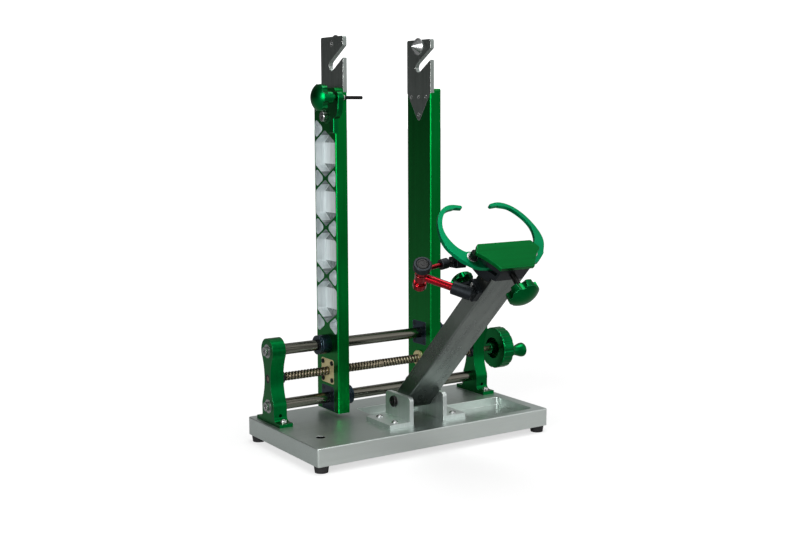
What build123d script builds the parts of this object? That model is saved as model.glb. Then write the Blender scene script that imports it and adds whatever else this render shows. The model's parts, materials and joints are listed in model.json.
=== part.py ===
from build123d import *
import math
import os

# Bicycle wheel truing stand, millimetres.
# Origin: centre of the base plate outline on the bench; +X along the guide rods
# toward the handwheel, -Y toward the person truing the wheel, +Z up.

# base plate, feet and pockets
PLATE_X = 393.7
PLATE_Y = 208.3
PLATE_T = 25.4
FOOT_H = 10.0
FOOT_R = 10.5
FOOT_INSET = 11.5
PLATE_TOP = FOOT_H + PLATE_T
POCKET_DEPTH = 12.0
TRAY_X = (71.2, PLATE_X / 2 - 17.15)
TRAY_Y = (-91.3, -2.6)
TRAY_R = 9.0
BAY_X = 41.3
BAY_Y = (-7.1, 56.9)
BAY_R = 5.0
STORE_X = 32.55 - PLATE_X / 2
STORE_R = 6.5
STORE_DEPTH = 8.0
STORE_Y = -53.6

# guide rods, screw and end blocks
ROD_Y = 53.67
ROD_PITCH = 40.05
SCREW_Z = PLATE_TOP + 64.8
LOW_Z = SCREW_Z - ROD_PITCH
HIGH_Z = SCREW_Z + ROD_PITCH
ROD_R = 7.94
SCREW_R = 6.35
JOURNAL_R = 3.95
BLOCK_OUT = PLATE_X / 2 - 7.35
BLOCK_T = 20.8
BLOCK_IN = BLOCK_OUT - BLOCK_T
LOBE_R = 18.25
WAIST = 9.3
BLOCK_FOOT_Y = 35.75
BLOCK_FOOT_T = 5.1
SET_HOLE_Z = PLATE_TOP + 13.0
ROD_SEAT = 13.0
SHANK_R = 4.0
WASHER_R = 10.0
WASHER_T = 1.6
BUSH_R = 6.5
RUN = 0.05

# uprights
POST_IN = 71.7
POST_T = 19.2
POST_OUT = POST_IN + POST_T
POST_HALF = 31.15
POST_BOTTOM = PLATE_TOP + 5.8
POST_RISE = 475.5
POST_TOP = PLATE_TOP + POST_RISE
POST_BEVEL = 3.0
CELL_Z0 = PLATE_TOP + 134.0
CELL_PITCH = (POST_TOP - 57.5 - CELL_Z0) / 4
CELL_DEPTH = 15.0
RIB_T = 3.0
RIB_SLOPE = 0.6
SIDE_WALL = 2.6
MILL_R = 5.0

# bearing cartridges and screw nuts
CART_R = 14.0
CART_L = 37.0
FLANGE = 36.0
FLANGE_T = 6.0
NUT_R = 12.0
NUT_L = 22.7

# axle plates
AXLE_T = 6.35
AXLE_TOP = POST_TOP + 72.5
AXLE_SHOULDER = POST_TOP - 6.0
AXLE_TIP = POST_TOP - 46.5
SLOT_R = 7.2
SLOT_ANGLE = 31.0
SLOT_Y = ROD_Y + 0.7
SLOT_Z = AXLE_TOP - 41.0
CONE_R = 12.7
CONE_Z = AXLE_TOP - 10.0
STUB_R = 3.0

# tilting arm: a runs along the arm from its pivot, b across it toward the axle
PIVOT_Y = -35.4
PIVOT_Z = PLATE_TOP + 28.9
ARM_LEAN = 45.45
ARM_W = 50.8
ARM_H = 25.4
ARM_WALL = 3.2
ARM_END_R = 36.0
ARM_END_A = 261.1
ARM_END_B = -12.0
PIVOT_R = 4.75
LEG_T = 6.35
LEG_GAP = 0.2
LEG_H = 41.0
LEG_REACH = 39.5
LEG_Y = (-75.5, -12.0)

# caliper head
HEAD_START = ARM_END_A + 28.9
HEAD_FRONT = ARM_END_A + 63.0
HEAD_PLATE_T = 5.0
HEAD_LOW = -14.6
CLAW_A = ARM_END_A + 43.8
CLAW_T = 5.2
CLAW_GAP = 0.3
HINGE_X = 48.6
HINGE_B = 17.5
HINGE_R = 4.0
KNOB_A = CLAW_A + 3.1
KNOB_R = 21.0
KNOB_T = 19.0
KNOB_BASE_B = -37.0
ROD_END_B = -1.0
OPENER_R = 4.0

# handwheel
WHEEL_X = BLOCK_OUT + 24.0
WHEEL_T = 19.3
WHEEL_R = 32.6
WHEEL_WELL_R = 17.0
WHEEL_WELL_T = 11.5
HUB_R = 8.5
HUB_L = 7.0
NOTCHES = 16
CRANK_Y = ROD_Y - 22.8
CRANK_Z = SCREW_Z - 3.8
GRIP_R = 11.3
GRIP_NECK_R = 7.8
GRIP_L = 25.4
CRANK_PIN_R = 3.0

# rotor gauge on the left upright
GAUGE_Y = 9.0
GAUGE_Z = POST_TOP - 14.0
GAUGE_BOSS_R = 9.0
GAUGE_LOBE = (16.5, POST_TOP - 28.4)
GAUGE_LOBE_R = 15.0
GAUGE_HINGE_Y = 35.4
GAUGE_HINGE_Z = POST_TOP - 40.2
GAUGE_LUG_R = 9.5
GAUGE_TAIL_Y = (14.0, 26.6)
GAUGE_TAIL_Z = POST_TOP - 63.4
GAUGE_ARM_T = 8.0
GAUGE_PIN_R = 2.5
GAUGE_KNOB_R = 19.0
GAUGE_KNOB_T = 17.5
GAUGE_HUB_L = 11.5

# indicator arm
BASE_A = ARM_END_A + 2.9
BASE_T = 7.6
SWIVEL_X = -44.0
SWIVEL_A = ARM_END_A + 4.9
SWIVEL_B = -6.0
CLAMP_X = -37.0
NECK_R = 3.5
ELBOW = Vector(-87.0, -185.0, 266.8)
WRIST = Vector(-41.0, -190.0, 283.0)
ELBOW_LEAN = Vector(-0.381, -0.560, 0.744)
LINK_R = 5.25
ROD_LINK_R = 3.1
ELBOW_PIN_R = 3.0
BALL_R = 4.2
STEM_BORE_R = 4.0

os.makedirs("parts", exist_ok=True)
parts = {}


def xcyl(r, x0, x1, y=0.0, z=0.0):
    """Cylinder along X from x0 to x1."""
    return Pos((x0 + x1) / 2, y, z) * Rot(0, 90, 0) * Cylinder(r, abs(x1 - x0))


def block(x, y, z):
    """Box from three (low, high) pairs."""
    size = [abs(v[1] - v[0]) for v in (x, y, z)]
    mid = [(v[0] + v[1]) / 2 for v in (x, y, z)]
    return Pos(*mid) * Box(*size)


def yz_slab(face, x0, x1):
    """Sketch drawn in local (Y, Z) thickened along X from x0 to x1."""
    plane = Plane(origin=(min(x0, x1), 0, 0), x_dir=(0, 1, 0), z_dir=(1, 0, 0))
    return extrude(plane * face, abs(x1 - x0))


def rounded(points, radius):
    """Polygon face with every corner rounded."""
    face = make_face(Polyline(*points, close=True))
    return fillet(face.vertices(), radius)


def mirrored(shape):
    return mirror(shape, about=Plane.YZ)


def bar(p, q, r):
    """Round bar of radius r from point p to point q."""
    line = q - p
    return extrude(Plane(origin=p, z_dir=line) * Circle(r), line.length)


def on_arm(a=0.0, b=0.0, x=0.0):
    """Placement on the arm: local X = world X, local Y = across (b), local Z = along (a)."""
    return Pos(0, PIVOT_Y, PIVOT_Z) * Rot(ARM_LEAN, 0, 0) * Pos(x, b, a)


def across(r, b0, b1, a):
    """Cylinder across the arm from b0 to b1, in arm coordinates."""
    return Pos(0, (b0 + b1) / 2, a) * Rot(90, 0, 0) * Cylinder(r, b1 - b0)


def hand_knob(radius, thickness, dome):
    """Domed knob on local Z = 0 whose six finger hollows fade out toward the dome."""
    rim = extrude(Circle(radius), thickness)
    knob = rim & (Pos(0, 0, thickness - dome) * Sphere(dome))
    hollow_r = radius * 0.36
    for i in range(6):
        lean = Pos(radius * 1.13, 0, 0) * Rot(0, 17, 0) * Cylinder(hollow_r, 3 * thickness)
        knob -= Rot(0, 0, 60.0 * i) * lean
    return fillet(knob.edges().filter_by(GeomType.CIRCLE).group_by(Axis.Z)[0], 0.8)


# ------------------------------------------------------------------ base
plate = block((-PLATE_X / 2, PLATE_X / 2), (-PLATE_Y / 2, PLATE_Y / 2), (FOOT_H, PLATE_TOP))
plate = fillet(plate.edges().filter_by(Axis.Z), 4.0)
plate = chamfer(plate.faces().sort_by(Axis.Z)[-1].edges(), 0.8)
for xs, ys, r in ((TRAY_X, TRAY_Y, TRAY_R), ((-BAY_X, BAY_X), BAY_Y, BAY_R)):
    well = block(xs, ys, (PLATE_TOP - POCKET_DEPTH, PLATE_TOP + 5))
    plate -= fillet(well.edges().filter_by(Axis.Z), r)
plate -= Pos(STORE_X, STORE_Y, PLATE_TOP - STORE_DEPTH / 2) * Cylinder(STORE_R, STORE_DEPTH)
parts["base_plate"] = plate

feet = []
for sx in (-1, 1):
    for sy in (-1, 1):
        spot = (sx * (PLATE_X / 2 - FOOT_INSET), sy * (PLATE_Y / 2 - FOOT_INSET), FOOT_H / 2)
        feet.append(Pos(*spot) * Cone(FOOT_R - 1.4, FOOT_R, FOOT_H))
parts["feet"] = Compound(children=feet)


def block_outline():
    """Side outline of an end block, local (Y, Z)."""
    body = Pos(ROD_Y, HIGH_Z) * Circle(LOBE_R) + Pos(ROD_Y, LOW_Z) * Circle(LOBE_R)
    scoop = (ROD_PITCH ** 2 + WAIST ** 2 - LOBE_R ** 2) / (2 * (LOBE_R - WAIST))
    away = scoop + WAIST
    tangent = ROD_PITCH * scoop / (scoop + LOBE_R)
    web = Pos(ROD_Y, SCREW_Z) * Rectangle(2 * LOBE_R, 2 * tangent)
    for side in (-1, 1):
        web -= Pos(ROD_Y + side * away, SCREW_Z) * Circle(scoop)
    shin = Pos(ROD_Y, (PLATE_TOP + LOW_Z) / 2) * Rectangle(2 * LOBE_R - 0.6, LOW_Z - PLATE_TOP)
    foot_top = PLATE_TOP + BLOCK_FOOT_T
    foot = Pos(ROD_Y, foot_top - BLOCK_FOOT_T / 2) * Rectangle(2 * BLOCK_FOOT_Y, BLOCK_FOOT_T)
    body = body + web + shin + foot
    bends = [v for v in body.vertices() if abs(v.Y - foot_top) < 0.01 and abs(v.X - ROD_Y) < BLOCK_FOOT_Y - 1]
    return fillet(bends, 7.0)


def end_block():
    """Right-hand block; the left one is its mirror image."""
    solid = yz_slab(block_outline(), BLOCK_IN, BLOCK_OUT)
    for z in (LOW_Z, HIGH_Z):
        solid -= xcyl(ROD_R, BLOCK_IN - 1, BLOCK_IN + ROD_SEAT, ROD_Y, z)
        solid -= xcyl(SHANK_R, BLOCK_IN, BLOCK_OUT + 1, ROD_Y, z)
        solid -= xcyl(WASHER_R, BLOCK_OUT - WASHER_T, BLOCK_OUT + 1, ROD_Y, z)
    set_hole = Pos((BLOCK_IN + BLOCK_OUT) / 2, ROD_Y - LOBE_R, SET_HOLE_Z) * Rot(90, 0, 0) * Cylinder(2.5, 12.0)
    return solid - set_hole - xcyl(BUSH_R, BLOCK_IN - 1, BLOCK_OUT + 1, ROD_Y, SCREW_Z)


right_block = end_block()
parts["right_end_block"] = right_block
parts["left_end_block"] = mirrored(right_block)

rod_reach = BLOCK_IN + ROD_SEAT
thread_depth = 12.0
for name, z in (("upper_guide_rod", HIGH_Z), ("lower_guide_rod", LOW_Z)):
    rod = xcyl(ROD_R, -rod_reach, rod_reach, ROD_Y, z)
    for side in (-1, 1):
        rod -= xcyl(SHANK_R, side * (rod_reach - thread_depth), side * (rod_reach + 1), ROD_Y, z)
    parts[name] = rod

washers = []
end_screws = []
for side in (-1, 1):
    for z in (LOW_Z, HIGH_Z):
        ring = xcyl(WASHER_R, side * (BLOCK_OUT - WASHER_T), side * BLOCK_OUT, ROD_Y, z)
        hole = xcyl(SHANK_R, side * (BLOCK_OUT - 3), side * (BLOCK_OUT + 1), ROD_Y, z)
        washers.append(ring - hole)
        shank = xcyl(SHANK_R, side * (rod_reach - thread_depth), side * BLOCK_OUT, ROD_Y, z)
        head = xcyl(6.5, side * BLOCK_OUT, side * (BLOCK_OUT + 4.5), ROD_Y, z)
        hexagon = Pos(ROD_Y, z) * RegularPolygon(3.4, 6)
        head -= yz_slab(hexagon, side * (BLOCK_OUT + 1.5), side * (BLOCK_OUT + 5))
        end_screws.append(shank + head)
parts["rod_end_washers"] = Compound(children=washers)
parts["rod_end_screws"] = Compound(children=end_screws)

bushes = []
for side in (-1, 1):
    bush = xcyl(BUSH_R, side * BLOCK_IN, side * BLOCK_OUT, ROD_Y, SCREW_Z)
    bush += xcyl(BUSH_R + 3.0, side * (BLOCK_IN - 3), side * BLOCK_IN, ROD_Y, SCREW_Z)
    bushes.append(bush - xcyl(JOURNAL_R + RUN, side * (BLOCK_IN - 4), side * (BLOCK_OUT + 1), ROD_Y, SCREW_Z))
parts["screw_bushes"] = Compound(children=bushes)

leg_in = ARM_W / 2 + LEG_GAP
leg_out = leg_in + LEG_T
leg = Pos((LEG_Y[0] + LEG_Y[1]) / 2, PLATE_TOP + LEG_H / 2) * Rectangle(LEG_Y[1] - LEG_Y[0], LEG_H)
leg = fillet(leg.vertices().group_by(Axis.Y)[-1], 6.0)
bracket = yz_slab(leg, leg_in, leg_out)
bracket += block((leg_out, leg_in + LEG_REACH), LEG_Y, (PLATE_TOP, PLATE_TOP + LEG_T))
bracket -= xcyl(PIVOT_R, leg_in - 1, leg_out + 1, PIVOT_Y, PIVOT_Z)
parts["right_arm_bracket"] = bracket
parts["left_arm_bracket"] = mirrored(bracket)

bolt = xcyl(PIVOT_R, -leg_out, leg_out, PIVOT_Y, PIVOT_Z)
for side in (-1, 1):
    button = xcyl(8.3, side * leg_out, side * (leg_out + 4.8), PIVOT_Y, PIVOT_Z)
    rim = button.edges().filter_by(GeomType.CIRCLE).sort_by(lambda e: abs(e.center().X))[-1]
    button = fillet(rim, 3.4)
    socket = Pos(PIVOT_Y, PIVOT_Z) * RegularPolygon(3.2, 6)
    bolt += button - yz_slab(socket, side * (leg_out + 2.2), side * (leg_out + 6))
parts["arm_pivot_bolt"] = bolt

# ------------------------------------------------- screw, wheel and crank
screw_end = BLOCK_IN - 3.3
wheel_end = WHEEL_X + WHEEL_T
spindle = xcyl(SCREW_R, -screw_end, screw_end, ROD_Y, SCREW_Z)
spindle += xcyl(JOURNAL_R, -BLOCK_OUT + 1.5, wheel_end - 1.5, ROD_Y, SCREW_Z)
parts["leadscrew"] = spindle

hub_x = WHEEL_X - HUB_L
wheel = xcyl(WHEEL_R, WHEEL_X, wheel_end, ROD_Y, SCREW_Z)
for i in range(NOTCHES):
    turn = math.radians(360.0 * i / NOTCHES)
    notch_y = ROD_Y + (WHEEL_R + 5.3) * math.cos(turn)
    notch_z = SCREW_Z + (WHEEL_R + 5.3) * math.sin(turn)
    wheel -= xcyl(6.0, WHEEL_X - 1, wheel_end + 1, notch_y, notch_z)
for face in (wheel.faces().sort_by(Axis.X)[0], wheel.faces().sort_by(Axis.X)[-1]):
    wheel = chamfer([e for e in wheel.edges() if abs(e.center().X - face.center().X) < 0.01], 1.2)
wheel -= xcyl(WHEEL_WELL_R, WHEEL_X - 1, WHEEL_X + WHEEL_WELL_T, ROD_Y, SCREW_Z)
wheel += xcyl(HUB_R, hub_x, WHEEL_X + WHEEL_WELL_T, ROD_Y, SCREW_Z)
wheel -= xcyl(JOURNAL_R, hub_x - 1, wheel_end - 1.5, ROD_Y, SCREW_Z)
wheel -= xcyl(CRANK_PIN_R, wheel_end - 7, wheel_end + 1, CRANK_Y, CRANK_Z)
parts["handwheel"] = wheel

grip_x = wheel_end + 0.3
grip_far = grip_x + GRIP_L
crank_pin = xcyl(CRANK_PIN_R, wheel_end - 7, grip_far + 0.3, CRANK_Y, CRANK_Z)
parts["crank_pin"] = crank_pin + xcyl(5.0, grip_far + 0.3, grip_far + 2.4, CRANK_Y, CRANK_Z)
inner = CRANK_PIN_R + RUN
flank = Spline((0.8, GRIP_NECK_R + 0.7), (8.0, GRIP_NECK_R), (17.0, GRIP_R - 0.7), (21.5, GRIP_R))
crown = ThreePointArc((21.5, GRIP_R), (24.4, GRIP_R - 1.3), (GRIP_L, GRIP_R - 4.2))
ends = Polyline((GRIP_L, GRIP_R - 4.2), (GRIP_L, inner), (0, inner), (0, GRIP_NECK_R), (0.8, GRIP_NECK_R + 0.7))
grip = revolve(make_face(flank + crown + ends), Axis.X)
parts["crank_grip"] = Pos(grip_x, CRANK_Y, CRANK_Z) * grip

# --------------------------------------------------------------- uprights
cell_side = POST_HALF - SIDE_WALL
rib_inset = RIB_T / 2 * math.sqrt(1 + RIB_SLOPE ** 2)


def cell_hexagon(z0):
    """Hexagonal hollow between two rib crossings, local (Y, Z)."""
    low = z0 + rib_inset
    high = z0 + CELL_PITCH - rib_inset
    rise = RIB_SLOPE * cell_side
    pts = [(0, low), (cell_side, low + rise), (cell_side, high - rise)]
    pts += [(0, high), (-cell_side, high - rise), (-cell_side, low + rise)]
    return rounded([(ROD_Y + y, z) for y, z in pts], MILL_R)


def cell_triangle(z0, side):
    """Three-cornered hollow beside a rib crossing, local (Y, Z)."""
    rise = RIB_SLOPE * cell_side - rib_inset
    pts = [(rib_inset / RIB_SLOPE, z0), (cell_side, z0 - rise), (cell_side, z0 + rise)]
    return rounded([(ROD_Y + side * y, z) for y, z in pts], MILL_R)


def axle_outline():
    """Outline of an axle plate without its slot, local (Y, Z)."""
    pts = [(-POST_HALF, AXLE_SHOULDER), (-POST_HALF, AXLE_TOP), (POST_HALF, AXLE_TOP)]
    pts += [(POST_HALF, AXLE_SHOULDER), (3.0, AXLE_TIP), (-3.0, AXLE_TIP)]
    face = make_face(Polyline(*[(ROD_Y + y, z) for y, z in pts], close=True))
    face = fillet(face.vertices().group_by(Axis.Y)[0], 2.6)
    return fillet(face.vertices().group_by(Axis.Y)[-1], 3.2)


def axle_slot():
    """Open slot that receives the wheel axle, local (Y, Z)."""
    length = 60.0
    slot = Pos(-length / 2, 0) * Rectangle(length, 2 * SLOT_R) + Circle(SLOT_R)
    return Pos(SLOT_Y, SLOT_Z) * Rot(0, 0, -SLOT_ANGLE) * slot


def flange_face(z):
    return fillet((Pos(ROD_Y, z) * Rectangle(FLANGE, FLANGE)).vertices(), 3.0)


def upright():
    """Right-hand upright, outer face toward +X."""
    post = block((POST_IN, POST_OUT), (ROD_Y - POST_HALF, ROD_Y + POST_HALF), (POST_BOTTOM, POST_TOP))
    post = chamfer(post.edges().filter_by(Axis.Z), 1.2)
    edge = [e for e in post.edges().filter_by(Axis.X) if e.center().Z > POST_TOP - 0.1 and e.center().Y < ROD_Y]
    post = chamfer(edge, POST_BEVEL)
    floor = POST_OUT - CELL_DEPTH
    for i in range(4):
        post -= yz_slab(cell_hexagon(CELL_Z0 + i * CELL_PITCH), floor, POST_OUT + 1)
        post -= yz_slab(cell_triangle(CELL_Z0 + i * CELL_PITCH, -1), floor, POST_OUT + 1)
    for i in range(5):
        post -= yz_slab(cell_triangle(CELL_Z0 + i * CELL_PITCH, 1), floor, POST_OUT + 1)
    post -= yz_slab(axle_outline(), POST_IN - 1, POST_IN + AXLE_T)
    for z, radius in ((LOW_Z, CART_R), (SCREW_Z, NUT_R), (HIGH_Z, CART_R)):
        post -= xcyl(radius, POST_IN - 1, POST_OUT + 1, ROD_Y, z)
    post -= yz_slab(flange_face(HIGH_Z), POST_IN - 1, POST_IN + FLANGE_T)
    for z in (LOW_Z, SCREW_Z):
        post -= yz_slab(flange_face(z), POST_OUT - FLANGE_T, POST_OUT + 1)
    return post


def flanged(x_face, direction, z, radius, length, bore):
    """Square-flanged round sleeve; the flange starts at x_face, the body runs along direction."""
    sleeve = yz_slab(flange_face(z), x_face, x_face + direction * FLANGE_T)
    sleeve += xcyl(radius, x_face, x_face + direction * length, ROD_Y, z)
    ring = x_face + direction * (length - 3.0)
    groove = xcyl(radius + 1, ring, ring - direction * 1.4, ROD_Y, z)
    sleeve -= groove - xcyl(radius - 0.9, ring, ring - direction * 1.4, ROD_Y, z)
    return sleeve - xcyl(bore, x_face - direction, x_face + direction * (length + 1), ROD_Y, z)


axle_plate = yz_slab(axle_outline() - axle_slot(), POST_IN, POST_IN + AXLE_T)
axle_plate -= xcyl(STUB_R, POST_IN - 1, POST_IN + AXLE_T + 1, SLOT_Y, CONE_Z)
cone_line = Polyline((0, 0), (0, CONE_R), (1.2, CONE_R), (CONE_R, 0.9), (CONE_R, 0), close=True)
cone = Pos(POST_IN, SLOT_Y, CONE_Z) * Rot(0, 0, 180) * revolve(make_face(cone_line), Axis.X)
cone += xcyl(STUB_R, POST_IN, POST_IN + AXLE_T, SLOT_Y, CONE_Z)

pieces = {
    "upright": upright(),
    "upper_bearing": flanged(POST_IN, 1, HIGH_Z, CART_R, CART_L, ROD_R + RUN),
    "lower_bearing": flanged(POST_OUT, -1, LOW_Z, CART_R, CART_L, ROD_R + RUN),
    "screw_nut": flanged(POST_OUT, -1, SCREW_Z, NUT_R, NUT_L, SCREW_R + RUN),
    "axle_plate": axle_plate,
    "centre_cone": cone,
}
for name, shape in pieces.items():
    parts["right_" + name] = shape
    parts["left_" + name] = mirrored(shape)

# ------------------------------------------------------------ rotor gauge
arm_in = -POST_OUT - 0.3
arm_out = arm_in - GAUGE_ARM_T
lug = Pos(GAUGE_HINGE_Y, GAUGE_HINGE_Z) * Circle(GAUGE_LUG_R)
boss = Pos(GAUGE_Y, GAUGE_Z) * Circle(GAUGE_BOSS_R)
lobe = Pos(*GAUGE_LOBE) * Circle(GAUGE_LOBE_R)
tail_mid = (GAUGE_TAIL_Y[0] + GAUGE_TAIL_Y[1]) / 2
tail_l = GAUGE_LOBE[1] - GAUGE_TAIL_Z
tail = Pos(tail_mid, GAUGE_TAIL_Z + tail_l / 2) * Rectangle(GAUGE_TAIL_Y[1] - GAUGE_TAIL_Y[0], tail_l)
strap = make_hull((boss + lobe).edges()) + make_hull((lobe + lug).edges()) + tail
hinge_r = 3.0
hinge_depth = 3.6
sleeve_r = 3.75
neck_r = 5.5
neck_x = arm_in + 3.7
gauge_arm = yz_slab(strap, arm_out, arm_in)
gauge_arm = chamfer(gauge_arm.faces().sort_by(Axis.X)[0].edges(), 0.7)
gauge_arm += xcyl(neck_r, arm_in, neck_x, GAUGE_Y, GAUGE_Z)
gauge_arm -= xcyl(hinge_r + RUN, arm_out - 1, arm_in + 1, GAUGE_HINGE_Y, GAUGE_HINGE_Z)
gauge_arm -= xcyl(sleeve_r, arm_out - 1, neck_x + 1, GAUGE_Y, GAUGE_Z)
parts["gauge_arm"] = gauge_arm

cap_in = arm_out - 0.3
cap_h = 7.0
hinge_cap = xcyl(7.0, cap_in - cap_h, cap_in, GAUGE_HINGE_Y, GAUGE_HINGE_Z)
hinge_cap = chamfer(hinge_cap.edges().sort_by(Axis.X)[0], 0.7)
socket = Pos(GAUGE_HINGE_Y, GAUGE_HINGE_Z) * RegularPolygon(3.6, 6)
hinge_cap -= yz_slab(socket, cap_in - cap_h - 1, cap_in - cap_h + 4)
hinge_pin = xcyl(hinge_r, cap_in, -POST_OUT + hinge_depth, GAUGE_HINGE_Y, GAUGE_HINGE_Z)
parts["gauge_hinge_screw"] = hinge_cap + hinge_pin
parts["left_upright"] -= hinge_pin

sleeve_end = neck_x + 2.2
sleeve = xcyl(sleeve_r, arm_out, sleeve_end, GAUGE_Y, GAUGE_Z)
parts["gauge_sleeve"] = sleeve - xcyl(GAUGE_PIN_R + RUN, arm_out - 1, sleeve_end + 1, GAUGE_Y, GAUGE_Z)

hub_in = arm_out - 7.0
head_in = arm_out - GAUGE_HUB_L - 7.0
head_out = head_in - GAUGE_KNOB_T
pin_back = head_in - 4.0
pin_tip = POST_IN * -1 + 16.5
gauge_pin = xcyl(GAUGE_PIN_R, pin_back, pin_tip, GAUGE_Y, GAUGE_Z)
parts["gauge_pin"] = chamfer(gauge_pin.edges().sort_by(Axis.X)[-1], 0.5)
gauge_knob = Pos(head_in, GAUGE_Y, GAUGE_Z) * Rot(0, -90, 0) * hand_knob(GAUGE_KNOB_R, GAUGE_KNOB_T, 24.0)
gauge_knob += xcyl(9.0, head_in, hub_in, GAUGE_Y, GAUGE_Z)
gauge_knob += xcyl(4.5, hub_in, arm_out - 0.3, GAUGE_Y, GAUGE_Z)
parts["gauge_knob"] = gauge_knob - xcyl(GAUGE_PIN_R + RUN, pin_back - 0.3, arm_out, GAUGE_Y, GAUGE_Z)

# -------------------------------------------------------------- tilting arm
tube_l = ARM_END_A + ARM_END_R
tube_mid = Pos(0, 0, tube_l / 2)
inner_w = ARM_W - 2 * ARM_WALL
inner_h = ARM_H - 2 * ARM_WALL
tube = tube_mid * Box(ARM_W, ARM_H, tube_l)
tube = fillet(tube.edges().filter_by(Axis.Z), 2.2)
tip = Pos(0, ARM_END_B, ARM_END_A) * Rot(0, 90, 0) * Cylinder(ARM_END_R, ARM_W + 2)
tube &= tip + Pos(0, 0, ARM_END_A / 2) * Box(ARM_W + 2, ARM_H + 2, ARM_END_A)
tube += Rot(0, 90, 0) * Cylinder(ARM_H / 2, ARM_W)
tube -= Pos(0, 0, ARM_H / 2 + tube_l / 2) * Box(inner_w, inner_h, tube_l)
tube -= Rot(0, 90, 0) * Cylinder(PIVOT_R + RUN, ARM_W + 2)
parts["arm_tube"] = on_arm() * tube

# ------------------------------------------------------------- caliper head
def head_outline(half, radius):
    """Symmetric head outline from its right half, local (X, b), outer corners rounded."""
    pts = half + [(-x, b) for x, b in reversed(half)]
    face = make_face(Polyline(*pts, close=True))
    return fillet(face.vertices().filter_by(lambda v: v.Y > 0), radius)


plate_a = HEAD_FRONT - HEAD_PLATE_T
half_top = Polyline((0, 27.4), (43.0, 27.4), (52.0, 14.5))
half_side = ThreePointArc((52.0, 14.5), (37.6, 1.2), (26.5, HEAD_LOW))
half_face = make_face(half_top + half_side + Polyline((26.5, HEAD_LOW), (0, HEAD_LOW), (0, 27.4)))
shield = half_face + mirrored(half_face)
shield = fillet(shield.vertices().filter_by(lambda v: abs(v.X) > 40), 3.5)
front = Pos(0, 0, plate_a) * extrude(shield, HEAD_PLATE_T)
front = chamfer(front.faces().sort_by(Axis.Z)[-1].edges(), 0.5)

casing = extrude(head_outline([(22.2, HEAD_LOW + 0.8), (37.0, 3.0), (40.0, 14.0), (36.0, 25.7)], 2.5), plate_a - HEAD_START)
casing = Pos(0, 0, HEAD_START) * casing
slot_a = (CLAW_A - CLAW_GAP, CLAW_A + CLAW_T + CLAW_GAP)
casing -= block((-60, 60), (-11.6, 40), slot_a)
casing -= tip
tongue = Pos(0, 0, HEAD_START - 14.0) * Box(inner_w, inner_h, 40.0)
casing += tongue
opener_bore = across(OPENER_R + RUN, -60, 60, KNOB_A)
casing -= opener_bore
parts["caliper_body"] = on_arm() * casing
parts["caliper_plate"] = on_arm() * front


def claw_outline():
    """Right caliper claw, local (X, b)."""
    outer = Spline((25.0, 102.4), (38.0, 104.4), (56.5, 97.5), (67.6, 85.5), (77.2, 63.5), (79.6, 47.0),
                   (75.5, 29.5), (67.0, 16.3), (57.0, 6.8), tangents=((1, 0.25), (-0.8, -0.65)))
    tail = Polyline((57.0, 6.8), (51.0, 2.2), (43.0, -0.6), (17.0, -3.0), (14.0, 1.0), (14.0, 7.0), (38.0, 16.0))
    crook = ThreePointArc((38.0, 16.0), (43.0, 24.5), (53.0, 26.6))
    inner = Spline((53.0, 26.6), (62.0, 34.0), (68.0, 46.0), (70.2, 60.0), (66.5, 75.0), (58.0, 88.0), (46.0, 96.4),
                   (36.0, 98.6), (25.0, 97.8), tangents=((0.85, 0.4), (-1, -0.12)))
    tip_round = ThreePointArc((25.0, 97.8), (22.7, 100.0), (25.0, 102.4))
    return make_face(outer + tail + crook + inner + tip_round)


claw = extrude(claw_outline(), CLAW_T)
claw -= Pos(HINGE_X, HINGE_B, CLAW_T / 2) * Cylinder(HINGE_R + RUN, CLAW_T + 2)
parts["right_claw"] = on_arm(a=CLAW_A) * claw
parts["left_claw"] = on_arm(a=CLAW_A) * mirrored(claw)

hinges = []
sleeve_low = CLAW_A + CLAW_T + CLAW_GAP
head_top = CLAW_A - CLAW_GAP
for side in (-1, 1):
    place = Pos(side * HINGE_X, HINGE_B, 0)
    pin = place * Pos(0, 0, (head_top + plate_a) / 2) * Cylinder(HINGE_R, plate_a - head_top)
    pin += place * Pos(0, 0, (sleeve_low + plate_a) / 2) * Cylinder(5.2, plate_a - sleeve_low)
    pin += place * Pos(0, 0, head_top - 2.5) * Cylinder(6.8, 5.0)
    hinges.append(on_arm() * pin)
parts["claw_hinge_screws"] = Compound(children=hinges)

opening_rod = across(OPENER_R, KNOB_BASE_B - KNOB_T + 6, ROD_END_B, KNOB_A)
opening_knob = Pos(0, KNOB_BASE_B, KNOB_A) * Rot(90, 0, 0) * hand_knob(KNOB_R, KNOB_T, 30.0)
parts["opening_knob"] = on_arm() * (opening_knob - opening_rod)
parts["opening_rod"] = on_arm() * opening_rod

# ------------------------------------------------------------ indicator arm
side = -ARM_W / 2
pad = block((side - BASE_T, side), (-11.0, 12.5), (BASE_A - 14.0, BASE_A + 8.0))
pad = fillet(pad.edges().filter_by(Axis.X), 3.0)
pad += block((CLAMP_X - 6.0, side), (8.3, 12.5), (BASE_A - 12.0, BASE_A + 1.0))
neck_end = SWIVEL_X - 7.0
pad += Pos(0, SWIVEL_B, SWIVEL_A) * xcyl(NECK_R, neck_end, side - BASE_T)
parts["indicator_base"] = on_arm() * pad
clamp_a = BASE_A - 5.0
clamp_knob = Pos(CLAMP_X, 17.0, clamp_a) * Rot(-90, 0, 0) * hand_knob(15.0, 11.0, 22.0)
clamp_stem = Pos(CLAMP_X, 0, 0) * across(3.5, 12.5, 22.0, clamp_a)
parts["clamp_knob"] = on_arm() * (clamp_knob + clamp_stem)

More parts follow.
